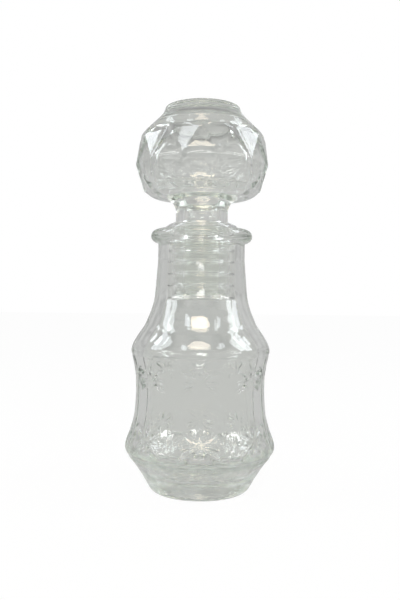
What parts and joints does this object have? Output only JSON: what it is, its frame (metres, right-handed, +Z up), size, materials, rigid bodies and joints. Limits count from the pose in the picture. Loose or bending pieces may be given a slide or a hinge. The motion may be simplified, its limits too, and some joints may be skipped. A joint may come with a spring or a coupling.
{
  "type": "stoppered decanter",
  "caption": "Small waisted clear glass decanter with pressed star panels, a rounded lip, a finned plastic seal and a hollow faceted glass stopper.",
  "frame": {"origin": "centre of the foot ring, on the surface the decanter stands on", "axes": "+Z up the axis of the bottle and stopper, +X to the right and -Y towards the viewer of the picture"},
  "size_m": [0.0578, 0.0576, 0.1472],
  "materials": {
    "bottle_glass": "polished",
    "stopper_glass": "polished",
    "seal_plastic": "translucent satin"
  },
  "bodies": {
    "bottle": {"bottle": "bottle_glass"},
    "seal": {"seal": "seal_plastic"},
    "stopper": {"stopper": "stopper_glass"}
  },
  "joints": [
    {"name": "stopper_lift", "type": "slide", "parent": "bottle", "child": "seal", "axis": [0, 0, 1], "range_m": [0, 0.05]},
    {"name": "stopper_twist", "type": "hinge", "parent": "seal", "child": "stopper", "pos_m": [0, 0, 0.12], "axis": [0, 0, 1], "continuous": true}
  ]
}
